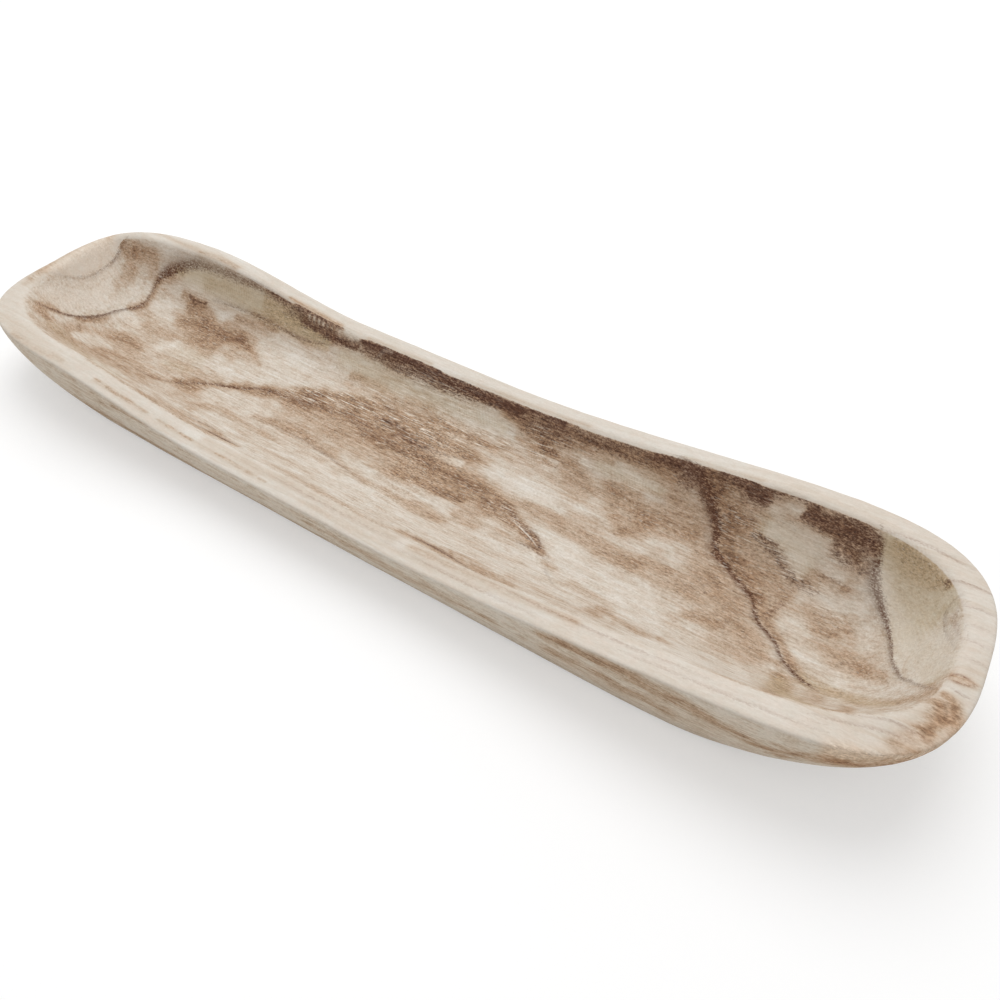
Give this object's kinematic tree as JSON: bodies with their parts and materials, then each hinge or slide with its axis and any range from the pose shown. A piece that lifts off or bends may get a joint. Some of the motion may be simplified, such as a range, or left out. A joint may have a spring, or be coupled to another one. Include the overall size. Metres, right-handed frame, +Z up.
{
  "type": "wooden serving tray",
  "caption": "Long boat-shaped serving tray carved from one plank, with a deep hollow, a rim that rises to both ends and a flat foot.",
  "frame": {"origin": "on the table, under the middle of the tray: the centre of the bounding box, at the underside of the foot", "axes": "+X along the tray to its near, higher end, +Y across it to the back, +Z up"},
  "size_m": [0.7, 0.17, 0.068],
  "materials": {
    "pale_wood": "bare, dry, hand-carved wood: pale sapwood at the rim, brown heartwood figure in the hollow, matte with a faint waxed sheen"
  },
  "bodies": {
    "root": {"carved_tray": "pale_wood"}
  },
  "joints": []
}
